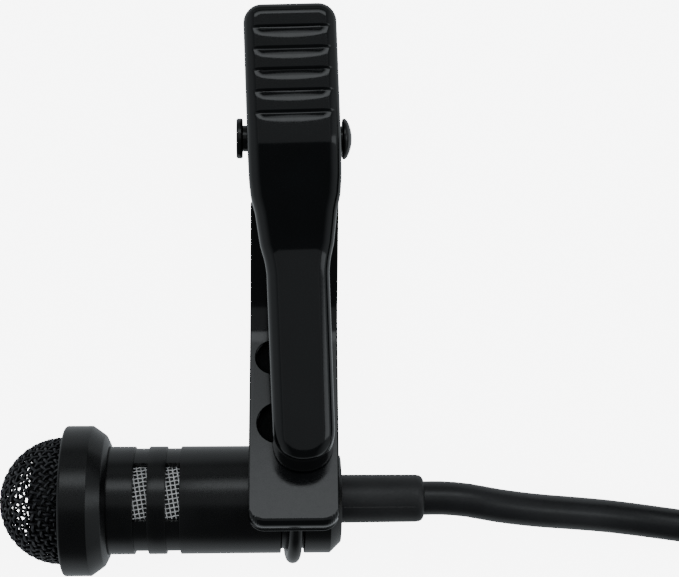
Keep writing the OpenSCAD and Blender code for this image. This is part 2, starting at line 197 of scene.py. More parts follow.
# %% [markdown]
# Wire and cable are circles carried along a path. A curve object with a bevel would do the same,
# but it may twist where a path bends hard. Here each circle's upward direction is carried on from
# the one before it, so the tube never twists, and its ends are closed by small domes.

# %% Wire and cable
def swept(path, radius, sides):
    """Vertices and faces of a round tube along a path, with slightly domed ends."""
    verts, faces = [], []
    t = (path[1] - path[0]).normalized()
    up = t.orthogonal().normalized()
    rings = [(path[0] - t * radius * 0.12, 0.75, t)]
    for i, p in enumerate(path):
        a, b = path[max(0, i - 1)], path[min(len(path) - 1, i + 1)]
        rings.append((p, 1, (b - a).normalized()))
    rings.append((path[-1] + rings[-1][2] * radius * 0.12, 0.75, rings[-1][2]))
    for p, scale, t in rings:
        up = (up - t * up.dot(t)).normalized()
        side = t.cross(up)
        for k in range(sides):
            a = 2 * math.pi * k / sides
            verts.append(p + (up * math.cos(a) + side * math.sin(a)) * radius * scale)
    for i in range(len(rings) - 1):
        for k in range(sides):
            m = (k + 1) % sides
            faces.append([i * sides + k, i * sides + m, (i + 1) * sides + m, (i + 1) * sides + k])
    faces.append(list(range(sides))[::-1])
    faces.append([(len(rings) - 1) * sides + k for k in range(sides)])
    return verts, faces


def smooth_path(points, step):
    """An even, smooth path through given points, in steps of about the given length."""
    points = [Vector(p) for p in points]
    fine = []
    for i in range(len(points) - 1):
        p0, p1 = points[max(0, i - 1)], points[i]
        p2, p3 = points[i + 1], points[min(len(points) - 1, i + 2)]
        count = max(2, round((p2 - p1).length / step))
        for k in range(count):
            t = k / count
            fine.append(0.5 * (2 * p1 + (p2 - p0) * t + (2 * p0 - 5 * p1 + 4 * p2 - p3) * t * t
                               + (3 * p1 - p0 - 3 * p2 + p3) * t ** 3))
    fine.append(points[-1])
    return fine


# %% [markdown]
# The barrel, the ring and the clip are painted black metal. The coat is dark and glossy, with a
# very fine orange-peel that softens its highlights. A finish could be a scanned image, but noise
# on Object coordinates needs no file, and it stays with the piece when it moves.

# %% Helpers for finishes
def new_finish(name):
    """A new material, its node tree and its shader."""
    mat = bpy.data.materials.new(name)
    mat.use_nodes = True
    tree = mat.node_tree
    shader = tree.nodes["Principled BSDF"]
    return mat, tree, shader


def noise(tree, scale, detail, rough):
    """Noise on Object coordinates; the scale counts grains in a metre."""
    place = tree.nodes.new("ShaderNodeTexCoord")
    tex = tree.nodes.new("ShaderNodeTexNoise")
    tex.inputs["Scale"].default_value = scale
    tex.inputs["Detail"].default_value = detail
    tex.inputs["Roughness"].default_value = rough
    tree.links.new(place.outputs["Object"], tex.inputs["Vector"])
    return tex.outputs["Fac"]


def ramp(tree, value, low, high, out_low, out_high):
    """Maps a value from one range to another."""
    node = tree.nodes.new("ShaderNodeMapRange")
    node.inputs["From Min"].default_value = low
    node.inputs["From Max"].default_value = high
    node.inputs["To Min"].default_value = out_low
    node.inputs["To Max"].default_value = out_high
    tree.links.new(value, node.inputs["Value"])
    return node.outputs["Result"]


def shade(tree, value, dark, light):
    """Mixes two colours by a value."""
    node = tree.nodes.new("ShaderNodeMix")
    node.data_type = "RGBA"
    node.inputs[6].default_value = (*dark, 1)
    node.inputs[7].default_value = (*light, 1)
    tree.links.new(value, node.inputs[0])
    return node.outputs[2]


def bump(tree, shader, height, strength, distance):
    """Fine relief for a shader, from a height and the greatest depth in metres."""
    node = tree.nodes.new("ShaderNodeBump")
    node.inputs["Strength"].default_value = strength
    node.inputs["Distance"].default_value = distance
    tree.links.new(height, node.inputs["Height"])
    tree.links.new(node.outputs["Normal"], shader.inputs["Normal"])


# %% [markdown]
# All finishes here share one build. Broad noise shifts the tone and fine noise shifts the gloss.
# The same fine noise is the relief, so the raised grain is also the duller part.

# %% A coat
def coat(name, dark, light, rough_low, rough_high, grain, relief, specular=0.5, metallic=0.0):
    """A painted, moulded or plated finish: tone, gloss and fine relief all vary a little."""
    mat, tree, shader = new_finish(name)
    broad = noise(tree, grain * 0.12, 2, 0.5)
    fine = noise(tree, grain, 4, 0.6)
    tree.links.new(shade(tree, ramp(tree, broad, 0.3, 0.7, 0, 1), dark, light),
                   shader.inputs["Base Color"])
    tree.links.new(ramp(tree, fine, 0.3, 0.7, rough_low, rough_high), shader.inputs["Roughness"])
    shader.inputs["Specular IOR Level"].default_value = specular
    shader.inputs["Metallic"].default_value = metallic
    bump(tree, shader, fine, 0.6, relief)
    return mat


# %% [markdown]
# Each finish of the object gets its own material. The grain is a count in a metre: about 0.4 mm
# for the clip's sprayed paint, and about half of that for the turned barrel and for the rubber,
# whose relief is deeper. The clip's pockets get a dull coat, because they mirror hardly anything.

# %% Finishes
clip_paint = coat("clip_paint", (0.0006, 0.0008, 0.001), (0.0012, 0.0016, 0.002), 0.11, 0.16,
                  2600, 0.000002)
pocket_paint = coat("pocket_paint", (0.0006, 0.0006, 0.0006), (0.0012, 0.0012, 0.0012), 0.7, 0.85,
                    2600, 0.000006, specular=0.25)
barrel_paint = coat("barrel_paint", (0.0012, 0.0012, 0.0013), (0.0022, 0.0022, 0.0024), 0.23, 0.29,
                    5200, 0.000003)
collar_paint = coat("collar_paint", (0.0012, 0.0012, 0.0013), (0.0022, 0.0022, 0.0024), 0.25, 0.31,
                    5200, 0.000003)
ring_paint = coat("ring_paint", (0.001, 0.001, 0.0011), (0.002, 0.002, 0.0022), 0.2, 0.27,
                  3000, 0.000003)
boot_rubber = coat("boot_rubber", (0.008, 0.008, 0.0085), (0.013, 0.013, 0.0135), 0.4, 0.52,
                   4200, 0.000012)
jacket = coat("cable_jacket", (0.005, 0.005, 0.0055), (0.008, 0.008, 0.009), 0.32, 0.4, 3000,
              0.000005)
moulded_black = coat("moulded_black", (0.008, 0.008, 0.008), (0.013, 0.013, 0.013), 0.4, 0.52,
                     3600, 0.000008)
gold = coat("gold_plate", (0.72, 0.5, 0.18), (0.83, 0.62, 0.26), 0.16, 0.26, 2500, 0.000002,
            metallic=1.0)
wire_silver = coat("wire_silver", (0.7, 0.7, 0.7), (0.88, 0.88, 0.88), 0.25, 0.4, 4000,
                   0.000003, metallic=0.4)
wire_dark = coat("wire_dark", (0.05, 0.05, 0.055), (0.12, 0.12, 0.125), 0.25, 0.38, 4000, 0.000003,
                 metallic=1.0)
spring_steel = coat("spring_steel", (0.3, 0.3, 0.3), (0.5, 0.5, 0.5), 0.25, 0.4, 3000, 0.000003,
                    metallic=1.0)
can_metal = coat("can_metal", (0.6, 0.6, 0.62), (0.75, 0.75, 0.77), 0.3, 0.42, 2500, 0.000003,
                 metallic=1.0)
felt = coat("felt", (0.004, 0.004, 0.004), (0.02, 0.02, 0.02), 0.85, 1.0, 5000, 0.00004)
strap_fabric = coat("strap_fabric", (0.012, 0.012, 0.013), (0.03, 0.03, 0.032), 0.75, 0.95,
                    3000, 0.00003)
white_plastic = coat("white_plastic", (0.6, 0.6, 0.56), (0.72, 0.72, 0.68), 0.4, 0.55, 3000,
                     0.000004)
film = coat("film", (0.6, 0.47, 0.2), (0.7, 0.56, 0.26), 0.2, 0.3, 1500, 0.000002, metallic=0.8)
board_green = coat("board_green", (0.01, 0.12, 0.05), (0.02, 0.17, 0.07), 0.3, 0.42, 2500,
                   0.000003)
wire_jacket = coat("wire_jacket", (0.004, 0.004, 0.004), (0.009, 0.009, 0.009), 0.35, 0.45, 2500,
                   0.000003)
print("finishes:", len(bpy.data.materials))

# %% [markdown]
# The lead comes next. It leaves the strain relief straight, sinks to the table, and runs to a
# wound coil: more than five turns inwards on the table, then as many outwards on top of them. Its
# last stretch climbs over the coil to the plug, which lies across the turns. Where the strap
# passes under the coil, the turns ride up over it. A cloth simulation could drop the lead, but a
# worked-out coil is neat, and its length is known.

# %% The lead's path
lead_r = 1.3
free_run = [(10.1, 0, 0), (11.6, 0, 0), (13.6, -0.2, -0.12), (16, -0.7, -0.6), (19, -1.2, -1.5),
            (22, -1.6, -2.6), (25, -2, -3.6), (28, -2.45, -4.2), (31, -2.9, -4.38),
            (36, -3.6, -4.38), (41, -4.05, -4.38), (46, -4.2, -4.38)]
coil_in, coil_columns = 9.1, 6
coil_out = coil_in + 2 * lead_r * (coil_columns - 1)
coil_x, coil_y = 57, -4.2 + coil_out
tie_angle, tie_lift, tie_spread = 200, 0.5, 22


def ease(t):
    """Rises smoothly from 0 to 1 as t goes from 0 to 1."""
    t = max(0.0, min(1.0, t))
    return t * t * (3 - 2 * t)


def coil_point(turns):
    """A point of the coil after that many turns, counted from its lowest place in the plan."""
    a = math.radians(-90 + 360 * turns)
    # a lower turn steps inwards over its last quarter, and an upper one steps outwards earlier
    inwards = sum(ease((turns - n - 0.75) / 0.25) for n in range(coil_columns - 1))
    outwards = sum(ease((turns - n - 0.18) / 0.25) for n in range(coil_columns, 2 * coil_columns - 1))
    r = coil_out - 2 * lead_r * (inwards - outwards)
    off = (math.degrees(a) - tie_angle + 180) % 360 - 180
    lift = tie_lift * math.exp(-(off / tie_spread) ** 2)
    climb = ease((turns - coil_columns + 0.55) / 0.27) * 2 * lead_r
    return Vector((coil_x + r * math.cos(a), coil_y + r * math.sin(a),
                   TABLE + lead_r + 0.02 + lift + climb))


turn_points, coil_turns = 24, 11.17
coil_path = [coil_point(k / turn_points) for k in range(1, int(turn_points * coil_turns))]
plug_y, plug_z = 24.8, 2.8
tail_run = [(77.9, 10.4, -1.7), (79.1, 14.4, -0.95), (79.3, 18.4, 0), (78.2, 22.8, 0.6),
            (75.4, 27.4, 0.95), (71.4, 31, 1), (66.6, 33, 1), (61.8, 33, 1.3),
            (58.2, 31.3, 1.9), (56, 28.8, 2.5), (55.4, 26.4, 2.78), (55.4, plug_y, plug_z)]
rough_path = [Vector(p) for p in free_run] + coil_path + [Vector(p) for p in tail_run]
lead_path = smooth_path(rough_path, 1.1)

# %% The lead
lead_verts, lead_faces = swept([at(*p) for p in lead_path], lead_r * MM, 20)
lead = piece("lead", lead_verts, lead_faces, jacket, "microphone",
             ("cable", "cable_coil", "cable_tail"))

# %% [markdown]
# The plug is a plain three-contact one with a moulded grip and a ribbed relief. The soft rings of
# both are drawn in the profile, by a loop, before it is turned. Cutting them from a finished
# cylinder would leave worse edges. The insulators between the contacts keep their engineering
# shape and only get a finish.

# %% Plug and its relief
plug_at = at(55.4, plug_y, plug_z)
out = Vector((0, -1, 0))
relief_line = [(0, 0), (0, 1.35), (0.25, 1.6)]
for k in range(5):
    x, r = 1.2 + 1.45 * k, 1.68 + 0.1 * k
    relief_line += [(x - 0.35, r), (x - 0.2, r - 0.28), (x + 0.2, r - 0.28), (x + 0.35, r + 0.03)]
relief_line += [(8.6, 2.3), (9.0, 2.3), (9.0, 0)]
plug_boot = turned("plug_boot", relief_line, boot_rubber, "microphone", ("plug_relief",), 64,
                   plug_at, out)
grip_line = [(9, 0), (9, 2.5), (9.25, 2.8), (9.7, 3.02), (10.2, 3.1)]
for k in range(7):
    x = 13 + 1.2 * k
    grip_line += [(x - 0.3, 3.1), (x - 0.16, 2.96), (x + 0.16, 2.96), (x + 0.3, 3.1)]
grip_line += [(22.9, 3.1), (23.5, 3.0), (23.85, 2.8), (24, 2.55), (24, 0)]
plug_grip = turned("plug_grip", grip_line, moulded_black, "microphone", ("plug_body",), 64,
                   plug_at, out)
contact_parts = [
    ("contact_sleeve", "plug_sleeve_contact",
     [(24, 0), (24, 2.4), (24.12, 2.5), (24.5, 2.5), (24.6, 2.4), (24.6, 1.75), (30.95, 1.75),
      (31, 1.7), (31, 0)]),
    ("contact_ring", "plug_ring_contact",
     [(31.6, 0), (31.6, 1.7), (31.65, 1.75), (33.75, 1.75), (33.8, 1.7), (33.8, 0)]),
    ("contact_tip", "plug_tip_contact",
     [(34.4, 0), (34.4, 1.7), (34.45, 1.75), (35.2, 1.75), (35.6, 1.6), (36.0, 1.34), (36.25, 1.27),
      (36.5, 1.36), (36.8, 1.6), (37.1, 1.68), (37.5, 1.55), (37.9, 1.2), (38.25, 0.75),
      (38.5, 0.35), (38.6, 0)])]
for part_name, stands_for, line in contact_parts:
    contact = turned(part_name, line, gold, "microphone", (stands_for,), 64, plug_at, out)
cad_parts["plug_insulators"].data.materials[0] = moulded_black
print("plug tip at", tuple(round(v * 1000, 1) for v in plug_at + out * 38.6 * MM), "mm")

# %% [markdown]
# A hook-and-loop strap keeps the coil together. It is a flat band bent round the bundle of turns,
# with its end lapped over the top. Its section is carried round a rounded line, which keeps it the
# same thickness everywhere. A shrink-wrapped strip would sink between the turns.

# %% Coil tie
tie_half, tie_thick = 3, 0.46
tie_in, tie_out = coil_in - lead_r, coil_out + lead_r
tie_top = TABLE + tie_lift + 4 * lead_r + 0.02
band_line = rounded([(tie_out - 4, tie_top), (tie_in - 0.05, tie_top), (tie_in - 0.05, TABLE + tie_lift),
                     (tie_out + 0.05, TABLE + tie_lift), (tie_out + 0.05, tie_top + 0.02),
                     (tie_in + 6, tie_top + 0.02)], [0.6, 0.9, 0.9, 0.6])
tie_turn = Matrix.Rotation(math.radians(tie_angle), 3, "Z")
tie_verts, tie_faces = [], []
for i, p in enumerate(band_line):
    a, b = band_line[max(0, i - 1)], band_line[min(len(band_line) - 1, i + 1)]
    t = (b - a).normalized()
    off = Vector((t.y, -t.x)) * tie_thick
    for w in (-tie_half, tie_half):
        for q in (p, p - off):
            flat = tie_turn @ Vector((q.x, w, 0))
            tie_verts.append(at(coil_x + flat.x, coil_y + flat.y, q.y))
for i in range(len(band_line) - 1):
    o, n = 4 * i, 4 * i + 4
    tie_faces += [[o, o + 2, n + 2, n], [o + 1, n + 1, n + 3, o + 3], [o, n, n + 1, o + 1],
                  [o + 2, o + 3, n + 3, n + 2]]
last = 4 * (len(band_line) - 1)
tie_faces += [[0, 1, 3, 2], [last, last + 2, last + 3, last + 1]]
tie = piece("coil_strap", tie_verts, tie_faces, strap_fabric, "microphone", ("coil_tie",))
edge = tie.modifiers.new("soft edge", "BEVEL")
edge.width, edge.segments, edge.limit_method = 0.1 * MM, 2, "ANGLE"

# %% [markdown]
# The grille is woven wire. Two families of wires cross at right angles, and each wire passes over
# and under the others in turn. A bump map could fake it, but its outline against the floor would
# be smooth. Geometry Nodes draw one wire, repeat it, bend the flat weave over the dome and give it
# thickness. These helpers keep the node code short.

# %% Helpers for node trees
def math_node(tree, operation, *values):
    """A maths node on sockets and plain numbers; gives its output."""
    node = tree.nodes.new("ShaderNodeMath")
    node.operation = operation
    for i, value in enumerate(values):
        if isinstance(value, (int, float)):
            node.inputs[i].default_value = value
        else:
            tree.links.new(value, node.inputs[i])
    return node.outputs[0]


def linked(tree, kind, links):
    """A new node, with sockets linked into its inputs by name or number."""
    made = tree.nodes.new(kind)
    for socket, source in links.items():
        tree.links.new(source, made.inputs[socket])
    return made


def vector(tree, *parts):
    """Three parts joined to a vector; a part is a socket or a plain number."""
    made = tree.nodes.new("ShaderNodeCombineXYZ")
    for i, part in enumerate(parts):
        if isinstance(part, (int, float)):
            made.inputs[i].default_value = part
        else:
            tree.links.new(part, made.inputs[i])
    return made.outputs[0]


# %% [markdown]
# One family is a row of straight wires, made as instances of one line. The height of a wire in the
# weave is a cosine of its place, with opposite signs for the two families, so one is up where the
# other is down. It is stored on the points while they still lie flat and square.

# %% One family of wires
def place_fields(tree):
    """The x and the y of the points, as fields."""
    place = tree.nodes.new("GeometryNodeInputPosition")
    split = linked(tree, "ShaderNodeSeparateXYZ", {0: place.outputs[0]})
    return split.outputs[0], split.outputs[1]


def flat_wires(tree, given, family):
    """Straight wires side by side, with their wave stored; family 1 lies across family 0."""
    def m(operation, *values):
        return math_node(tree, operation, *values)

    wire = linked(tree, "GeometryNodeCurvePrimitiveLine",
                  {"Start": vector(tree, m("MULTIPLY", given["Reach"], -1), 0, 0),
                   "End": vector(tree, given["Reach"], 0, 0)})
    even = linked(tree, "GeometryNodeResampleCurve",
                  {"Curve": wire.outputs[0], "Count": given["Points"]})
    width = m("MULTIPLY", m("SUBTRACT", given["Wires"], 1), given["Pitch"])
    row = linked(tree, "GeometryNodeMeshLine",
                 {"Count": given["Wires"],
                  "Start Location": vector(tree, 0, m("MULTIPLY", width, -0.5), 0),
                  "Offset": vector(tree, 0, given["Pitch"], 0)})
    wires = linked(tree, "GeometryNodeInstanceOnPoints",
                   {"Points": row.outputs[0], "Instance": even.outputs[0]})
    real = linked(tree, "GeometryNodeRealizeInstances", {0: wires.outputs[0]})
    crossed = linked(tree, "GeometryNodeTransform", {"Geometry": real.outputs[0]})
    crossed.inputs["Rotation"].default_value = (0, 0, math.pi / 2 * family)
    u, v = place_fields(tree)
    phase = m("MULTIPLY", m("DIVIDE", m("ADD", u, v), given["Pitch"]), math.pi)
    wave = m("MULTIPLY", m("COSINE", phase), m("MULTIPLY", given["Wave"], 1 - 2 * family))
    store = linked(tree, "GeometryNodeStoreNamedAttribute",
                   {"Geometry": crossed.outputs[0], "Value": wave})
    store.domain = "POINT"
    store.inputs["Name"].default_value = "wave"
    tilt = linked(tree, "GeometryNodeTransform",
                  {"Geometry": store.outputs[0], "Rotation": vector(tree, 0, 0, given["Tilt"])})
    return tilt.outputs[0]


# %% [markdown]
# The same flat weave serves twice. On the dome, a point's way from the middle becomes an arc from
# the pole, and past a quarter turn it runs down a straight skirt. On the tube, one direction stays
# straight and the other goes round. Each rule also says which points lie too far out.

# %% Wrapping the weave
def on_dome(tree, given, radius):
    """The place on a dome with a skirt, and which points are cropped."""
    def m(operation, *values):
        return math_node(tree, operation, *values)

    u, v = place_fields(tree)
    rho = m("SQRT", m("ADD", m("MULTIPLY", u, u), m("MULTIPLY", v, v)))
    polar = m("DIVIDE", rho, given["Radius"])
    bent = m("MINIMUM", polar, math.pi / 2)
    skirt = m("MULTIPLY", m("SUBTRACT", polar, bent), given["Radius"])
    spread = m("DIVIDE", m("MULTIPLY", m("SINE", bent), radius), m("MAXIMUM", rho, 1e-7))
    front = m("MULTIPLY", m("MULTIPLY", m("COSINE", bent), radius), -1)
    spot = vector(tree, m("ADD", front, skirt), m("MULTIPLY", u, spread), m("MULTIPLY", v, spread))
    return spot, m("GREATER_THAN", rho, given["Crop"])


def on_tube(tree, given, radius):
    """The place on a tube about the X axis, and which points are cropped."""
    def m(operation, *values):
        return math_node(tree, operation, *values)

    u, v = place_fields(tree)
    a = m("DIVIDE", v, given["Radius"])
    spot = vector(tree, u, m("MULTIPLY", m("SINE", a), radius), m("MULTIPLY", m("COSINE", a), radius))
    too_long = m("GREATER_THAN", m("ABSOLUTE", u), given["Crop"])
    too_far_round = m("GREATER_THAN", m("ABSOLUTE", v), m("MULTIPLY", given["Radius"], math.pi))
    return spot, m("MAXIMUM", too_long, too_far_round)


# %% [markdown]
# The tree joins both families, wraps them, gives the wires a six-sided section and sets the
# finish. It runs on an empty object, and its result is taken as a plain mesh, which can then be
# moved and finished as every other piece is.

# %% The woven tree
woven_inputs = {"Pitch": "Float", "Wire radius": "Float", "Wave": "Float", "Reach": "Float",
                "Crop": "Float", "Radius": "Float", "Tilt": "Float", "Wires": "Int", "Points": "Int"}
wire_sides = 6


def woven_tree(name, wrap, material):
    """A plain weave, cropped and wrapped by the given rule."""
    tree = bpy.data.node_groups.new(name, "GeometryNodeTree")
    for label, kind in woven_inputs.items():
        tree.interface.new_socket(label, in_out="INPUT", socket_type="NodeSocket" + kind)
    tree.interface.new_socket("Geometry", in_out="OUTPUT", socket_type="NodeSocketGeometry")
    given = tree.nodes.new("NodeGroupInput").outputs
    join = tree.nodes.new("GeometryNodeJoinGeometry")
    for family in (0, 1):
        flat = flat_wires(tree, given, family)
        lift = tree.nodes.new("GeometryNodeInputNamedAttribute")
        lift.inputs["Name"].default_value = "wave"
        radius = math_node(tree, "ADD", given["Radius"], lift.outputs["Attribute"])
        spot, beyond = wrap(tree, given, radius)
        crop = linked(tree, "GeometryNodeDeleteGeometry", {"Geometry": flat, "Selection": beyond})
        crop.domain = "POINT"
        move = linked(tree, "GeometryNodeSetPosition", {"Geometry": crop.outputs[0], "Position": spot})
        section = linked(tree, "GeometryNodeCurvePrimitiveCircle", {"Radius": given["Wire radius"]})
        section.inputs["Resolution"].default_value = wire_sides
        thick = linked(tree, "GeometryNodeCurveToMesh",
                       {"Curve": move.outputs[0], "Profile Curve": section.outputs[0]})
        thick.inputs["Fill Caps"].default_value = True
        tree.links.new(thick.outputs[0], join.inputs[0])
    final = linked(tree, "GeometryNodeRealizeInstances", {0: join.outputs[0]})
    paint = linked(tree, "GeometryNodeSetMaterial", {"Geometry": final.outputs[0]})
    paint.inputs["Material"].default_value = material
    linked(tree, "NodeGroupOutput", {0: paint.outputs[0]})
    return tree


def woven(name, wrap, material, centre, turned_by, **sizes):
    """Runs the tree, takes its result as a plain mesh and puts it in place."""
    tree = woven_tree(name + "_tree", wrap, material)
    maker = bpy.data.objects.new(name + "_maker", bpy.data.meshes.new(name + "_maker"))
    bpy.context.collection.objects.link(maker)
    modifier = maker.modifiers.new("weave", "NODES")
    modifier.node_group = tree
    for item in tree.interface.items_tree:
        if item.in_out == "INPUT":
            modifier[item.identifier] = sizes[item.name.lower().replace(" ", "_")]
    graph = bpy.context.evaluated_depsgraph_get()
    mesh = bpy.data.meshes.new_from_object(maker.evaluated_get(graph), depsgraph=graph)
    mesh.transform(Matrix.Translation(centre) @ Matrix.Rotation(turned_by, 4, "X"))
    bpy.data.objects.remove(maker)
    print(name, len(mesh.polygons), "faces")
    return mesh


# %% [markdown]
# The dome's wires are darkened steel, a little over half a millimetre apart. The weave could stop
# at the dome's edge. It goes on as a short skirt instead, so that its end is hidden in the collar.

# %% Grille dome
dome_r, grille_pitch = 4.62, 0.57
grille_crop = dome_r * math.pi / 2 + 1.8
grille_mesh = woven("grille", on_dome, wire_dark, at(-17.4, 0, 0), math.radians(12),
                    pitch=grille_pitch * MM, wire_radius=0.105 * MM, wave=0.107 * MM,
                    reach=grille_crop * MM, crop=grille_crop * MM, radius=dome_r * MM, tilt=0.0,
                    wires=int(2 * grille_crop / grille_pitch) + 1,
                    points=int(2 * grille_crop / grille_pitch * 5))
grille = finished("grille", grille_mesh, wire_dark, "microphone", ("grille_dome",))

# %% [markdown]
# A fine screen of bright wire lies behind the ports, over a black cloth. The cloth matters as much
# as the wire: without it, the far ports would be seen through the near ones. The same tree makes
# the screen, because a real one is also a flat sheet of mesh, rolled round.

# %% Port screen
screen_pitch, screen_r, screen_reach = 0.33, 3.4, 11.0
screen_mesh = woven("port_weave", on_tube, wire_silver, at(-10.2, 0, 0), 0.0,
                    pitch=screen_pitch * MM, wire_radius=0.045 * MM, wave=0.045 * MM,
                    reach=screen_reach * MM, crop=2.28 * MM, radius=screen_r * MM,
                    tilt=math.radians(10), wires=int(2 * screen_reach / screen_pitch) + 1,
                    points=int(2 * screen_reach / screen_pitch * 4))
screen = finished("port_weave", screen_mesh, wire_silver, "microphone", ("port_screen",))
cloth = turned("port_cloth", [(-12.5, 3.2), (-12.5, 3.28), (-7.9, 3.28), (-7.9, 3.2)], felt,
               "microphone", ("port_screen",), 64)

# %% [markdown]
# The collar clamps the grille on the barrel. It is one turned ring, with a straight band, a
# chamfer and a small foot. Small radii at its edges catch the light, as machined edges do. They
# are part of the drawn profile, so a bevel isn't needed.

# %% Collar
collar_line = rounded([(-15.5, 4.94), (-17.3, 4.94), (-17.3, 5.69), (-15.2, 5.69), (-14.2, 4.98),
                       (-13.9, 4.38), (-13.9, 4.1), (-15.5, 4.1)],
                      [0.1, 0.25, 0.12, 0.3, 0.06, 0.02], 6)
collar = turned("collar_ring", collar_line, collar_paint, "microphone", ("collar",), 160)

# %% [markdown]
# The barrel is a turned tube. Two shallow grooves carry the rear ports, whose windows go right
# through the wall. Booleans could cut them, but they leave long thin faces that shade badly on a
# glossy tube. Here the wall is rows of points round the axis, two degrees apart, so a window is
# made by leaving out faces and closing its four sides. First comes the profile, from the collar
# along the outside to the rear end and back along the bore.

# %% The barrel's profile
barrel_r, port_r, bore_r, rear_bore = 4.09, 3.94, 3.5, 3.0
groove_front, groove_back, groove_r = -0.86, 0.87, 3.74
port_grooves = [(-11.92, -10.88), (-9.5, -8.46)]
outer = rounded([(-15.5, bore_r), (-15.5, barrel_r), (-12.5, barrel_r)], [0.05], 3)
for x0, x1 in port_grooves:
    outer += [(x0 - 0.06, barrel_r), (x0 - 0.02, barrel_r - 0.02), (x0, barrel_r - 0.06), (x0, port_r),
              (x1, port_r), (x1, barrel_r - 0.06), (x1 + 0.02, barrel_r - 0.02),
              (x1 + 0.06, barrel_r)]
outer += rounded([(-1.5, barrel_r), (groove_front, barrel_r), (groove_front, groove_r),
                  (groove_back, groove_r), (groove_back, barrel_r), (2.85, barrel_r),
                  (barrel_end, 3.27), (barrel_end, 1.86),
                  (2.7, 1.86), (2.7, rear_bore), (-7, rear_bore), (-7, bore_r), (-7.5, bore_r)],
                 [0.1, 0.08, 0.08, 0.1, 0.06, 0.06, 0.05, 0.1, 0.1, 0.1, 0.05], 4)
inner = []
for x0, x1 in reversed(port_grooves):
    inner += [(x1, bore_r), (x0, bore_r)]
barrel_line = [(p[0], p[1]) for p in outer] + inner
print("barrel profile:", len(barrel_line), "points")

# %% [markdown]
# Each point of the profile becomes a row of points round the axis. Three windows of 68 degrees in
# each groove are left open, and thin walls join the outside to the bore round each of them.

# %% Barrel
step_degrees = 2
around = 360 // step_degrees
window_start, window_span, windows = -52, 68, 3
rows = []
barrel_verts, barrel_faces = [], []
for x, r in barrel_line:
    rows.append(len(barrel_verts))
    for k in range(around):
        a = math.radians(step_degrees * k)
        barrel_verts.append(at(x, -r * math.sin(a), r * math.cos(a)))


def row_of(x, r):
    """The row that lies nearest to a place on the profile."""
    return min(range(len(barrel_line)), key=lambda i: abs(barrel_line[i][0] - x)
               + abs(barrel_line[i][1] - r))


open_cells = set()
for x0, x1 in port_grooves:
    front, back = row_of(x0, port_r), row_of(x1, port_r)
    back_in, front_in = row_of(x1, bore_r), row_of(x0, bore_r)
    for window in range(windows):
        start = (window_start + 360 // windows * window) // step_degrees
        cells = [(start + k) % around for k in range(window_span // step_degrees)]
        for k in cells:
            n = (k + 1) % around
            open_cells |= {(front, k), (back_in, k)}
            barrel_faces.append([rows[front] + k, rows[front_in] + k, rows[front_in] + n, rows[front] + n])
            barrel_faces.append([rows[back] + k, rows[back] + n, rows[back_in] + n, rows[back_in] + k])
        for k in (cells[0], (cells[-1] + 1) % around):
            barrel_faces.append([rows[front] + k, rows[back] + k, rows[back_in] + k, rows[front_in] + k])
for i in range(len(rows)):
    j = (i + 1) % len(rows)
    for k in range(around):
        if (i, k) not in open_cells:
            n = (k + 1) % around
            barrel_faces.append([rows[i] + k, rows[j] + k, rows[j] + n, rows[i] + n])
barrel = piece("barrel_tube", barrel_verts, barrel_faces, barrel_paint, "microphone", ("barrel",),
               angle=35)
print("barrel:", len(barrel_faces), "faces,", len(open_cells) // 2, "open cells")

# %% [markdown]
# The strain relief is a soft moulded sleeve. Its end is rounded, its flange sits inside the
# barrel, and a fine seam from the mould runs along it. The seam is a thin bead of its own, because
# it follows one straight line and not the turned profile.

# %% Strain relief
relief = turned("relief_sleeve", [(1.7, 1.3), (1.7, 2.9), (2.68, 2.9), (2.68, 1.84), (3.7, 1.845),
                                  (9.5, 1.815), (9.8, 1.77), (9.98, 1.66), (10.08, 1.5),
                                  (10.1, 1.36), (10.1, 1.3)], boot_rubber, "microphone",
                ("strain_relief",), 96)
seam_verts, seam_faces = swept([at(3.9 + 0.5 * k, -0.44, 1.765) for k in range(12)], 0.06 * MM, 8)
seam = piece("relief_seam", seam_verts, seam_faces, boot_rubber, "microphone", ("strain_relief",))

# %% [markdown]
# The clip hangs on a wire ring. The ring is split, and both its ends are welded under the lower
# jaw. It leans a little in its groove, so it is drawn as a path and not as a torus.

# %% Wire ring
ring_r, ring_wire = 4.34, 0.54
ring_start, ring_gap, ring_steps = 68.5, 6, 96
ring_turn = Matrix.Rotation(math.radians(3), 3, "Y")
ring_path = []
for k in range(ring_steps + 1):
    a = math.radians(ring_start + (360 - ring_gap) * k / ring_steps)
    p = Vector((0, math.cos(a), math.sin(a))) * ring_r
    ring_path.append(at(*(ring_turn @ p)))
ring_verts, ring_faces = swept(ring_path, ring_wire * MM, 24)
ring = piece("wire_ring", ring_verts, ring_faces, ring_paint, "clip", ("mic_ring",))

# %% [markdown]
# The lower jaw is stamped flat and then folded, and this script does the same. First comes the
# folded line, seen from the side: a small lip at the tip, the sloping plate, a gentle bend, and
# the tail that runs down to the table. The plate slopes by 24.5 degrees, and places on it are
# given along that slope.

# %% The folded line of the lower jaw
slope = math.radians(24.5)
along = Vector((math.cos(slope), -math.sin(slope)))
off_plate = Vector((math.sin(slope), math.cos(slope)))
sheet, plate_h = 0.5, 5.34
tip = along * -3.55 + off_plate * plate_h
kink = along * 12.6 + off_plate * plate_h
tail_slope = math.radians(10)
pivot_y, pivot_z = 27.26, 4.6
tail_bend = Vector((28, kink.y + (28 - kink.x) * math.tan(tail_slope)))
tail_end = Vector((36.95, TABLE + 0.55))
top_line = rounded([tip - off_plate * 1.26 - along * 0.2, tip - off_plate * 1.08, tip, kink,
                    tail_bend, tail_end, tail_end + Vector((0.35, -0.02))],
                   [0.12, 0.6, 6, 1.5, 0.2], 10)


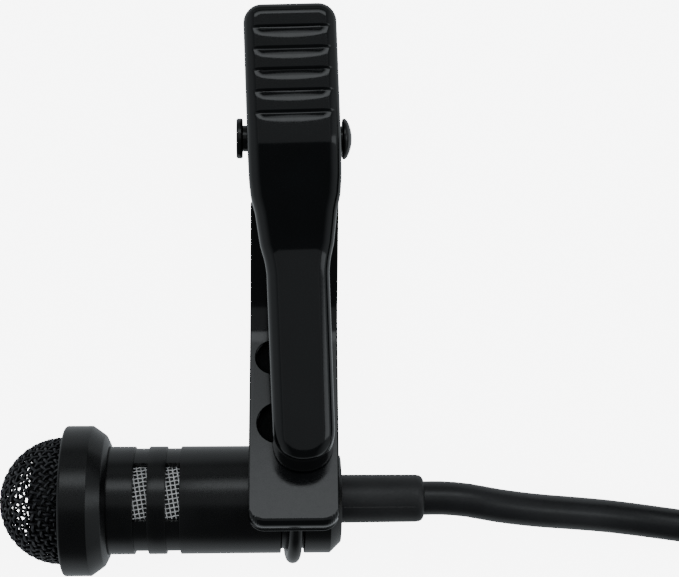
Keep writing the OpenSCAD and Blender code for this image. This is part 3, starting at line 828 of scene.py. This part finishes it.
def shifted(line, d):
    """The line moved to its right by d."""
    moved = []
    for i, p in enumerate(line):
        t = (line[min(len(line) - 1, i + 1)] - line[max(0, i - 1)]).normalized()
        moved.append(p + Vector((t.y, -t.x)) * d)
    return moved


jaw_line = shifted(top_line, sheet / 2)
lengths = [0.0]
for p, q in zip(jaw_line, jaw_line[1:]):
    lengths.append(lengths[-1] + (q - p).length)
jaw_length = lengths[-1]
plate_start = next(l for l, p in zip(lengths, jaw_line) if p.dot(along) > -2.6)
plate_start -= next(p for p in jaw_line if p.dot(along) > -2.6).dot(along)
print("jaw blank:", round(jaw_length, 1), "mm long; slope zero at", round(plate_start, 2))

# %% [markdown]
# Folding is then only a rule for one point: go so far along the line, and rise from it by so much.
# The direction of that rise turns evenly from one stretch of the line to the next, so the sheet
# keeps its thickness in the bends.

# %% Folding
def fold(x, length, height):
    """A point of the flat blank, carried to its place on the folded line."""
    i = max(1, next((k for k, l in enumerate(lengths) if l >= length), len(lengths) - 1))
    p, q = jaw_line[i - 1], jaw_line[i]
    t = (q - p).normalized()
    f = (length - lengths[i - 1]) / (lengths[i] - lengths[i - 1])
    nearby = []
    for k in (i - 1, i):
        d = (jaw_line[min(len(jaw_line) - 1, k + 1)] - jaw_line[max(0, k - 1)]).normalized()
        nearby.append(Vector((-d.y, d.x)))
    n = (nearby[0] * (1 - f) + nearby[1] * f).normalized()
    spot = p + t * (length - lengths[i - 1]) + n * height
    return at(x, spot.x, spot.y)


# %% [markdown]
# A blank is a filled curve. Its own bevel rounds its edges, on the outside and round every hole,
# which saves a Bevel modifier on a shape with holes.

# %% Blanks
def blank_plate(name, outlines, thick, edge_r):
    """A flat plate with rounded edges from closed outlines; the inner ones are holes."""
    data = bpy.data.curves.new(name, "CURVE")
    data.dimensions, data.fill_mode = "2D", "BOTH"
    data.extrude, data.bevel_depth = thick / 2 - edge_r, edge_r
    data.offset, data.bevel_resolution = -edge_r, 2
    for outline in outlines:
        spline = data.splines.new("POLY")
        spline.points.add(len(outline) - 1)
        for point, (x, y) in zip(spline.points, outline):
            point.co = (x, y, 0, 1)
        spline.use_cyclic_u = True
    maker = bpy.data.objects.new(name + "_maker", data)
    bpy.context.collection.objects.link(maker)
    graph = bpy.context.evaluated_depsgraph_get()
    mesh = bpy.data.meshes.new_from_object(maker.evaluated_get(graph), depsgraph=graph)
    bpy.data.objects.remove(maker)
    return mesh


def closed_round(points, radii, steps=6):
    """A closed outline whose corners are rounded."""
    count = len(points)
    line = []
    for i in range(count):
        piece_line = rounded([points[i - 1], points[i], points[(i + 1) % count]], [radii[i]], steps)
        line += [(p[0], p[1]) for p in piece_line[1:-1]]
    return line


# %% [markdown]
# The jaw's blank has a square tip with rounded corners, a narrower tail, and two openings for the
# pressed pockets. It is cut across wherever the sheet will bend, and lengthwise near its edges,
# where the bend runs round the corners. Without those cuts the fold would have no points to move.

# %% The lower jaw's blank
half_w, tail_w, corner_r = 3.36, 2.6, 1.2
narrow = plate_start + 12.6 + (23.2 - kink.x) / math.cos(tail_slope)
tail_length = jaw_length - 0.02
blank_line = closed_round(
    [(half_w, 0.05), (half_w, narrow - 0.5), (tail_w, narrow + 0.6), (tail_w, tail_length),
     (-tail_w, tail_length), (-tail_w, narrow + 0.6), (-half_w, narrow - 0.5),
     (-half_w, 0.05)], [corner_r, 0.5, 0.5, 1.0, 1.0, 0.5, 0.5, corner_r], 8)
pockets = [(9.61, 1.29, 2.85), (4.31, 1.51, 2.7)]
slot_steps = 16


def slot_line(place, r, reach):
    """A long round-ended outline across the plate, at its place along the slope."""
    middle = plate_start + place
    line = []
    for x, first in ((reach - r, -90), (-reach + r, 90)):
        for k in range(slot_steps + 1):
            a = math.radians(first + 180 * k / slot_steps)
            line.append((x + r * math.cos(a), middle + r * math.sin(a)))
    return line


jaw_mesh = blank_plate("jaw_blank", [blank_line] + [slot_line(*p) for p in pockets], sheet, 0.12)
bm = bmesh.new()
bm.from_mesh(jaw_mesh)
cuts = [((0, l, 0), (0, 1, 0)) for l in lengths[1:-1] + [0.1 * k for k in range(1, 30)]]
cuts += [((side * (half_w - corner_r * (1 - math.sin(math.radians(a)))), 0, 0), (1, 0, 0))
         for side in (-1, 1) for a in range(0, 90, 9)]
for place, facing in cuts:
    bmesh.ops.bisect_plane(bm, geom=bm.verts[:] + bm.edges[:] + bm.faces[:], dist=1e-6,
                           plane_co=place, plane_no=facing)

# %% [markdown]
# The blank is folded now. The plate drifts a little to one side towards its rear, and the bend of
# the tip follows its rounded corners, so it starts further back there.

# %% Folding the lower jaw
drift = [(0, 0), (plate_start, 0.02), (plate_start + 12, 0.14), (plate_start + 20, 0.18),
         (narrow - 0.4, 0.18), (narrow + 3, 0)]


def sideways(length):
    """The clip's plate drifts a little to one side towards its rear."""
    for (l0, d0), (l1, d1) in zip(drift, drift[1:]):
        if length <= l1:
            return d0 + (d1 - d0) * max(0, length - l0) / (l1 - l0)
    return 0.0


def corner_back(x, length):
    """The bend of the tip runs round the plate's corners, so it starts further back there."""
    u = min(corner_r, max(0, abs(x) - (half_w - corner_r)))
    return corner_r - math.sqrt(corner_r ** 2 - u * u) if length < 6 else 0.0


for vert in bm.verts:
    x, length, height = vert.co
    back = corner_back(x, length)
    vert.co = (fold(x + sideways(length), length - back, height)
               + Vector((0, along.x, along.y)) * back * MM)

# %% [markdown]
# The two pockets are pressed into the plate, 0.8 mm deep, with a dull black floor. Each is a cup
# below its opening: rings of points go down the inside, across the floor, and up the back, so the
# cup has a wall of its own.

# %% Pockets
cup_rings = [(0, -0.2), (0, -0.42), (-0.05, -0.51), (-0.15, -0.55)]
cup_back = [(0.1, -0.9), (0.2, -0.86), (0.25, -0.75), (0.25, -0.2)]
cup_verts, cup_faces = [], []
for place, r, reach in pockets:
    base = len(cup_verts)
    for out_by, height in cup_rings + cup_back:
        for x, l in slot_line(place, r + out_by, reach + out_by):
            cup_verts.append(fold(x + sideways(l), l, height))
    count = 2 * (slot_steps + 1)
    levels = len(cup_rings) + len(cup_back)
    for level in range(levels):
        low, high = base + level * count, base + (level + 1) % levels * count
        if level == len(cup_rings) - 1:
            cup_faces += [[low + k for k in range(count)], [high + k for k in reversed(range(count))]]
            continue
        for k in range(count):
            n = (k + 1) % count
            cup_faces.append([low + k, low + n, high + n, high + k])
cups = piece("jaw_pockets", cup_verts, cup_faces, pocket_paint, "clip", ("lower_jaw",))

# %% [markdown]
# An ear stands up from each edge of the tail and holds the pivot pin. On such a clip the ears are
# usually folded up with the plate. Here they are small blanks with a hole, stood on edge, because
# that bend is hidden under the lever.

# %% Ears
ear_r, ear_hole = 1.75, 0.97
pivot = Vector((pivot_y, pivot_z))


def around_pivot(r, angles):
    """Points on an arc about the pivot, in the clip's side view."""
    return [(pivot.x + r * math.cos(math.radians(a)), pivot.y + r * math.sin(math.radians(a)))
            for a in angles]


def ear(bm, side):
    """A rounded lug, turned up from the jaw's edge, that holds the pivot pin."""
    lug = [(24.2, 1.25), (27.9, 1.85), (30.0, 0.35)] + around_pivot(ear_r, range(0, 181, 12))
    mesh = blank_plate("ear", [lug, around_pivot(ear_hole, range(0, 360, 12))], sheet, 0.1)
    for vert in mesh.vertices:
        vert.co = at(side * (tail_w - sheet / 2) + vert.co.z, vert.co.x, vert.co.y)
    bm.from_mesh(mesh)


for side_sign in (-1, 1):
    ear(bm, side_sign)
bm.to_mesh(jaw_mesh)
bm.free()
lower = finished("lower_jaw_plate", jaw_mesh, clip_paint, "clip", ("lower_jaw",), angle=14)
print("lower jaw:", len(jaw_mesh.polygons), "faces")

# %% [markdown]
# The lever is drawn from one sheet: a beak, a rise, a ribbed thumb pad, and sides turned down all
# round. It could be modelled by hand with subdivision, but ribs and tight edges would need many
# loops there. Three simple lines describe it instead: its crest from the side, its outline from
# above, and its lower edge from the side. This cell has the first and the last, and the ribs: each
# one falls roundly towards the rear and ends in a steep riser.

# %% The lever's lines
nose_top = along * 0.05 + off_plate * (plate_h + 3.6)
lever_top = rounded([nose_top - Vector((3, -0.36)), Vector((19, 6.12)), Vector((26.74, 8.02)),
                     Vector((38, 7.0))], [2.2, 2.6], 12)
rib_valleys = [28.87 + 1.56 * k for k in range(5)]
rib_deep = 0.19


def along_line(line, y):
    """The height of a side-view line at a place along it."""
    for p, q in zip(line, line[1:]):
        if p[0] <= y <= q[0]:
            return p[1] + (q[1] - p[1]) * (y - p[0]) / (q[0] - p[0])
    return line[0][1] if y < line[0][0] else line[-1][1]


def rib_drop(x, y):
    """How far the thumb pad lies under its crests: a round fall, then a steep riser."""
    fall = 0.95 * (1 - 0.5 * min(1, abs(x) / 3) ** 2)
    drop = 0.0
    for valley in rib_valleys:
        before, after = valley - y, y - valley
        if 0 <= before < fall:
            drop = max(drop, (1 - before / fall) ** 2)
        if 0 <= after < 0.2:
            drop = max(drop, 1 - ease(after / 0.2))
    return rib_deep * drop


def top_height(x, y):
    """The height of the lever's top; its ribs fade out towards the sides."""
    fade = 1 - ease((abs(x) - 2.1) / 0.75)
    return along_line(lever_top, y) - rib_drop(x, y) * fade


lower_edge = [(1, 5.53), (2.72, 4.76), (3.99, 4.22), (13, 3.0), (18, 2.35), (21.5, 2.6),
              (24.6, 2.9), (28.2, 2.75), (29.6, 3.0), (32, 4.5), (36.9, 5.45), (40, 5.45)]

# %% [markdown]
# Seen from above, the lever is a narrow beak with a round nose that widens to the pad. The outline
# is walked from the nose to the pad's end. Each station keeps its half width, its place, and the
# direction in which its edge faces. They lie close together where the ribs are.

# %% The lever's outline
nose_y, pad_y = nose_top.x, 36.95
nose_corner, pad_corner, corner_steps = 2.1, 1.35, 8
beak_w, pad_w = 2.24, 3.41
rib_step, plain_step = 0.07, 0.3
askew = math.radians(1.9)


def half_width(y):
    """Half of the lever's width at a place along it."""
    side_line = [(0, beak_w), (17.4, beak_w + 0.08), (18.3, beak_w + 0.2), (19.4, beak_w + 0.48),
                 (21.8, pad_w - 0.4), (23, pad_w - 0.12), (24.2, pad_w - 0.02), (26, pad_w),
                 (40, pad_w)]
    return along_line(side_line, y)


stations = []
for k in range(corner_steps + 1):
    a = math.radians(90 * k / corner_steps)
    stations.append((half_width(nose_y + nose_corner) - nose_corner * (1 - math.sin(a)),
                     nose_y + nose_corner * (1 - math.cos(a)), math.sin(a), -math.cos(a)))
y = nose_y + nose_corner
while y < pad_y - pad_corner - 0.05:
    y += rib_step if 28.1 < y < 35.6 else plain_step
    slope_x = (half_width(y + 0.2) - half_width(y - 0.2)) / 0.4
    normal = Vector((1, -slope_x)).normalized()
    if y < pad_y - pad_corner - 0.02:
        stations.append((half_width(y), y, normal.x, normal.y))
for k in range(corner_steps + 1):
    a = math.radians(90 * k / corner_steps)
    stations.append((pad_w - pad_corner * (1 - math.cos(a)),
                     pad_y - pad_corner * (1 - math.sin(a)), math.cos(a), math.sin(a)))


def edge_radius(y, ny):
    """The soft edge is tight across the nose and full along the sides and the pad."""
    across = ease((nose_y + 2.2 - y) / 2.2)
    return 1.1 - 0.2 * across - 0.25 * max(0, ny)


def leaning(x, y, z):
    """Turns a point a little about the pivot, because the lever sits slightly askew."""
    dy = y - pivot_y
    return at(x * math.cos(askew) - dy * math.sin(askew),
              pivot_y + x * math.sin(askew) + dy * math.cos(askew), z)


# %% [markdown]
# A grid of points makes the lever's top, inside the soft edge. Its rim is then walked once round,
# and each point of the rim gets a seat: its place, the way it faces, and the radius of its edge.

# %% The lever's top
columns = 28
verts, faces = [], []
inner_rows = []
for x, y, nx, ny in stations:
    e = edge_radius(y, ny)
    inner_rows.append((x - nx * e, y - ny * e))
for hx, hy in inner_rows:
    for j in range(columns + 1):
        gx = hx * (2 * j / columns - 1)
        verts.append((gx, hy, top_height(gx, hy)))
width_count = columns + 1
for i in range(len(stations) - 1):
    for j in range(columns):
        c = i * width_count + j
        faces.append([c, c + 1, c + width_count + 1, c + width_count])
rim = [(0, j, 0, -1) for j in range(columns + 1)]
last_row = len(stations) - 1
rim += [(i, columns, stations[i][2], stations[i][3]) for i in range(1, last_row + 1)]
rim += [(last_row, j, 0, 1) for j in range(columns - 1, -1, -1)]
rim += [(i, 0, -stations[i][2], stations[i][3]) for i in range(last_row - 1, 0, -1)]
rim_ring = [i * width_count + j for i, j, nx, ny in rim]
seats = []
for (i, j, nx, ny), index in zip(rim, rim_ring):
    x, y, z = verts[index]
    seats.append((x, y, nx, ny, edge_radius(stations[i][1], ny)))
print("lever's top:", len(faces), "faces, with", len(seats), "seats round it")

# %% [markdown]
# Rings of points grow outwards and down from the rim. The first few turn the soft edge through a
# quarter circle, and the rest run down to the lower edge. At the nose they lean back to the slope
# of the plate below.

# %% The lever's edge and sides
edge_steps, side_steps = 6, 5


def add_ring(above, points):
    """Joins a new ring of points to the ring above it."""
    ring = list(range(len(verts), len(verts) + len(points)))
    verts.extend(points)
    for k in range(len(ring)):
        n = (k + 1) % len(ring)
        faces.append([above[n], above[k], ring[k], ring[n]])
    return ring


lowest = rim_ring
for step_k in range(1, edge_steps + 1):
    b = math.radians(90 * step_k / edge_steps)
    ring_points = []
    for x, y, nx, ny, e in seats:
        px, py = x + nx * e * math.sin(b), y + ny * e * math.sin(b)
        ring_points.append((px, py, top_height(px, py) - e * (1 - math.cos(b))))
    lowest = add_ring(lowest, ring_points)
shoulder = [verts[k] for k in lowest]
for step_k in range(1, side_steps + 1):
    ring_points = []
    for x, y, z in shoulder:
        lean_back = math.tan(slope) * (1 - ease((y - nose_y - 1.2) / 6))
        foot_y = y
        # the foot and its height depend on each other, and a few rounds settle them
        for _ in range(6):
            foot_z = min(along_line(lower_edge, foot_y), z - 0.2)
            foot_y = y - (z - foot_z) * lean_back
        f = step_k / side_steps
        ring_points.append((x, y + (foot_y - y) * f, z + (foot_z - z) * f))
    lowest = add_ring(lowest, ring_points)

# %% [markdown]
# Solidify gives the sheet its thickness, inwards, and a small Bevel softens the rim. Solidify
# follows the direction of the faces, so the open shell is first checked to face upwards.

# %% Lever
lever_verts = [leaning(*v) for v in verts]
lever = piece("lever", lever_verts, faces, clip_paint, "lever", (), angle=50)
bm = bmesh.new()
bm.from_mesh(lever.data)
if sum(f.normal.z * f.calc_area() for f in bm.faces) < 0:
    bmesh.ops.reverse_faces(bm, faces=bm.faces)
bm.to_mesh(lever.data)
bm.free()
wall = lever.modifiers.new("sheet", "SOLIDIFY")
wall.thickness, wall.offset = sheet * MM, -1
wall.use_even_offset = True
soft = lever.modifiers.new("soft rim", "BEVEL")
soft.width, soft.segments, soft.limit_method = 0.1 * MM, 2, "ANGLE"
soft.angle_limit = math.radians(60)
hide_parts("upper_jaw")
print("lever:", len(faces), "faces")

# %% [markdown]
# The pivot pin is a rivet. One end is pressed flat and the other is a dome. Both are turned from
# short profiles about the pivot.

# %% Pivot pin
pin_at = at(0, pivot_y, pivot_z)
turned("pin_shank", [(-4.2, 0), (-4.2, 1.36), (-4.16, 1.44), (-4.08, 1.48), (-3.84, 1.48),
                     (-3.76, 1.44), (-3.72, 1.36), (-3.72, 0.96), (3.6, 0.96), (3.6, 0)],
       ring_paint, "clip", ("pivot_pin",), 64, pin_at)
turned("rivet_dome", [(3.6, 0), (3.6, 1.4), (3.64, 1.48), (3.72, 1.515), (3.84, 1.5), (3.98, 1.36),
                      (4.12, 1.08), (4.24, 0.72), (4.31, 0.36), (4.33, 0)],
       ring_paint, "clip", ("pin_head",), 64, pin_at)

# %% [markdown]
# The spring is drawn wire, wound round the pin. One leg pushes the thumb pad up and the other
# pushes the lower jaw's tail down. A loop works out the winding, and the same smooth path joins
# the two legs to it.

# %% Spring
spring_r, spring_wire, spring_pitch, spring_x = 1.41, 0.25, 0.56, -1.3
turn_steps, spring_turns = 16, 4.5
spring_points = [(spring_x, 32.4, 6.6), (spring_x, 29.6, 6.3)]
for k in range(int(turn_steps * spring_turns) + 1):
    a = math.radians(90 + 360 / turn_steps * k)
    spring_points.append((spring_x + k / turn_steps * spring_pitch, pivot_y + spring_r * math.cos(a),
                          pivot_z + spring_r * math.sin(a)))
spring_end = spring_x + spring_turns * spring_pitch
spring_points += [(spring_end, 28.3, 2.95), (spring_end, 29.4, 1.75), (spring_end, 31, 0.09)]
spring_verts, spring_faces = swept([at(*p) for p in smooth_path(spring_points, 0.25)],
                                   spring_wire * MM, 12)
spring = piece("spring", spring_verts, spring_faces, spring_steel, "clip", ("torsion_spring",))

# %% [markdown]
# What is inside keeps its engineering shape and gets its own finish. It is hidden in the closed
# microphone, so finer shapes would never be seen.

# %% Inner pieces
inner_finish = {"grille_felt": felt, "capsule_boot": boot_rubber, "capsule_can": can_metal,
                "diaphragm_ring": gold, "diaphragm": film, "diaphragm_spacer": white_plastic,
                "backplate": can_metal, "backplate_cup": white_plastic, "gate_contact": gold,
                "fet": moulded_black, "circuit_board": board_green, "lead_wires": wire_jacket,
                "crimp_ferrule": gold, "cable_end": jacket}
for node_name, finish in inner_finish.items():
    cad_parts[node_name].data.materials.clear()
    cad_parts[node_name].data.materials.append(finish)
print("inner pieces:", len(inner_finish))

# %% [markdown]
# The floor is a white sheet. Real paper under strong light would also bounce light up into the
# dark paint and fill its shadows. This sheet glows by itself instead, and it is hidden from
# reflections and from bounced light, so it looks white and leaves the object alone.

# %% Floor
floor_reach, floor_glow = 2, 7
floor_mat, floor_tree, floor_shader = new_finish("floor_paper")
floor_tone = shade(floor_tree, noise(floor_tree, 40, 3, 0.6), (0.97, 0.97, 0.97), (0.99, 0.99, 0.99))
floor_tree.links.new(floor_tone, floor_shader.inputs["Base Color"])
floor_tree.links.new(floor_tone, floor_shader.inputs["Emission Color"])
floor_shader.inputs["Emission Strength"].default_value = floor_glow
floor_shader.inputs["Roughness"].default_value = 0.9
floor_mesh = bpy.data.meshes.new("floor")
floor_corners = [(x * floor_reach, y * floor_reach, 0) for x, y in ((-1, -1), (1, -1), (1, 1), (-1, 1))]
floor_mesh.from_pydata(floor_corners, [], [[0, 1, 2, 3]])
floor_mesh.materials.append(floor_mat)
floor = bpy.data.objects.new("floor", floor_mesh)
bpy.context.collection.objects.link(floor)
floor.visible_glossy = floor.visible_diffuse = False

# %% [markdown]
# Black glossy paint shows little of its own colour. It shows what it mirrors, so the sky matters.
# It is dim overhead, brighter below the horizon, and brighter too towards both ends of the barrel,
# for the clip's rounded side edges. A picture of a sky would do this too, but it is a file.

# %% Sky
world = bpy.data.worlds.new("sky")
bpy.context.scene.world = world
world.use_nodes = True
sky_tree = world.node_tree
background = sky_tree.nodes["Background"]
background.inputs["Color"].default_value = (0.9, 0.96, 1, 1)
direction = sky_tree.nodes.new("ShaderNodeTexCoord")
facing_x, facing_y, facing_z = linked(sky_tree, "ShaderNodeSeparateXYZ",
                                      {0: direction.outputs["Generated"]}).outputs
sky_above, sky_below, sky_beside = 0.1, 0.55, 0.5
below = ramp(sky_tree, facing_z, -0.25, 0.1, sky_below, sky_above)
beside = ramp(sky_tree, math_node(sky_tree, "ABSOLUTE", facing_x), 0.3, 0.85, 0, sky_beside)
sky_tree.links.new(math_node(sky_tree, "MAXIMUM", below, beside), background.inputs["Strength"])
print("sky:", sky_above, "overhead,", sky_below, "below,", sky_beside, "beside")

# %% [markdown]
# The lamps are rectangles, because rectangles leave long clean highlights on round metal. The far
# softbox draws the bright band along the barrel. Its weaker skirt is what the sloping plate
# mirrors, and the low panel is for bends that are steeper than the plate. The edge softbox, on the
# cable's side, picks out the edges that face it, and the sky panel overhead is what the beak
# mirrors. The last lamp is hidden from reflections, so it only brings out the colours themselves.

# %% Light
def softbox(name, place, target, width, height, power, glossy=True):
    """A rectangular lamp that faces its target; width and height are in metres."""
    data = bpy.data.lights.new(name, "AREA")
    data.shape, data.size, data.size_y, data.energy = "RECTANGLE", width, height, power
    data.color = (0.92, 0.97, 1)
    light = bpy.data.objects.new(name, data)
    bpy.context.collection.objects.link(light)
    light.location = place
    light.rotation_euler = (target - light.location).to_track_quat("-Z", "Y").to_euler()
    light.visible_glossy = glossy
    return light


aim = at(0, 15, 0)
# name, place in millimetres, width and height in metres, power in watts
lamps = [("far_softbox", (0, 494, 661), 0.9, 0.195, 1.08), ("far_skirt", (0, 606, 560), 0.9, 0.108, 0.34),
         ("low_panel", (0, 860, 270), 1.2, 0.36, 0.3), ("edge_softbox", (620, 60, 380), 0.2, 0.5, 0.35),
         ("sky_panel", (0, 175, 900), 1.2, 0.52, 0.55)]
for lamp_name, place, width, height, power in lamps:
    softbox(lamp_name, at(*place), aim, width, height, power)
softbox("fill_overhead", at(0, 0, 900), aim, 1.2, 1.2, 6.0, glossy=False)
print("lamps:", len(lamps) + 1)
